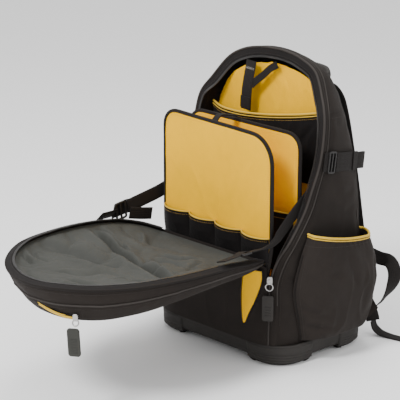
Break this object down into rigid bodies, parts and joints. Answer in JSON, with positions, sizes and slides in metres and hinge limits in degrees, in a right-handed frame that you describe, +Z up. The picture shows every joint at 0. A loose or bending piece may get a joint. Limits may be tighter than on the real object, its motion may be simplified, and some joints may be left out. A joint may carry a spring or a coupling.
{
  "type": "tool backpack",
  "caption": "Soft tool backpack on a moulded base, standing open with its front flap folded down level, organiser boards, side pouches and harness.",
  "frame": {"origin": "centre of the bounding box in plan, at the surface the feet stand on", "axes": "+Z up, -Y towards the folded-down front flap, +X the right-hand side seen from the front"},
  "size_m": [0.443, 0.6968, 0.5185],
  "materials": {
    "shell_fabric": "matte coated weave",
    "dark_webbing": "matte webbing",
    "grey_lining": "slightly glossy nylon",
    "yellow_lining": "matte nylon",
    "yellow_piping": "satin cord",
    "moulded_rubber": "matte moulded",
    "buckle_plastic": "satin acetal",
    "slider_metal": "nickel plated"
  },
  "bodies": {
    "root": {"base_tray": "moulded_rubber", "side_panel_right": "shell_fabric", "side_panel_left": "shell_fabric", "crown_panel": "shell_fabric", "front_panel": "shell_fabric", "rim_zip_tape": "dark_webbing", "back_panel": "shell_fabric", "rear_wall_lining": "yellow_lining", "upper_pocket": "dark_webbing", "upper_pocket_piping": "yellow_piping", "retainer_strap": "dark_webbing", "retainer_strap_arm": "dark_webbing", "divider_front": "yellow_lining", "divider_front_binding": "dark_webbing", "divider_back": "yellow_lining", "divider_back_binding": "dark_webbing", "divider_link_tab": "dark_webbing", "divider_pockets_upper": "dark_webbing", "divider_pockets_upper_trim": "yellow_piping", "divider_back_pockets": "dark_webbing", "divider_back_pockets_trim": "yellow_piping", "front_crescent_right": "yellow_lining", "front_crescent_left": "yellow_lining", "flap_shell": "shell_fabric", "flap_lining": "grey_lining", "flap_zip_tape": "dark_webbing", "flap_pocket_piping": "yellow_piping", "flap_pocket_slider": "slider_metal", "flap_pocket_pull": "moulded_rubber", "main_slider_right": "slider_metal", "main_pull_right": "moulded_rubber", "main_slider_left": "slider_metal", "main_pull_left": "moulded_rubber", "support_strap_left": "dark_webbing", "support_strap_left_lower": "dark_webbing", "support_strap_left_tail": "dark_webbing", "support_strap_right": "dark_webbing", "support_strap_right_lower": "dark_webbing", "ladder_lock_left": "buckle_plastic", "ladder_lock_right": "buckle_plastic", "side_pouch_right": "shell_fabric", "side_pouch_left": "shell_fabric", "side_pouch_right_piping": "yellow_piping", "side_pouch_left_piping": "yellow_piping", "side_strap_right": "dark_webbing", "side_strap_right_tail": "dark_webbing", "side_strap_right_frame": "buckle_plastic", "side_strap_left": "dark_webbing", "side_strap_left_tail": "dark_webbing", "side_strap_left_frame": "buckle_plastic", "shoulder_strap_right": "shell_fabric", "shoulder_webbing_right": "dark_webbing", "lower_anchor_right": "dark_webbing", "webbing_tail_right": "dark_webbing", "shoulder_strap_left": "shell_fabric", "shoulder_webbing_left": "dark_webbing", "lower_anchor_left": "dark_webbing", "webbing_tail_left": "dark_webbing", "grab_handle": "moulded_rubber"}
  },
  "joints": []
}
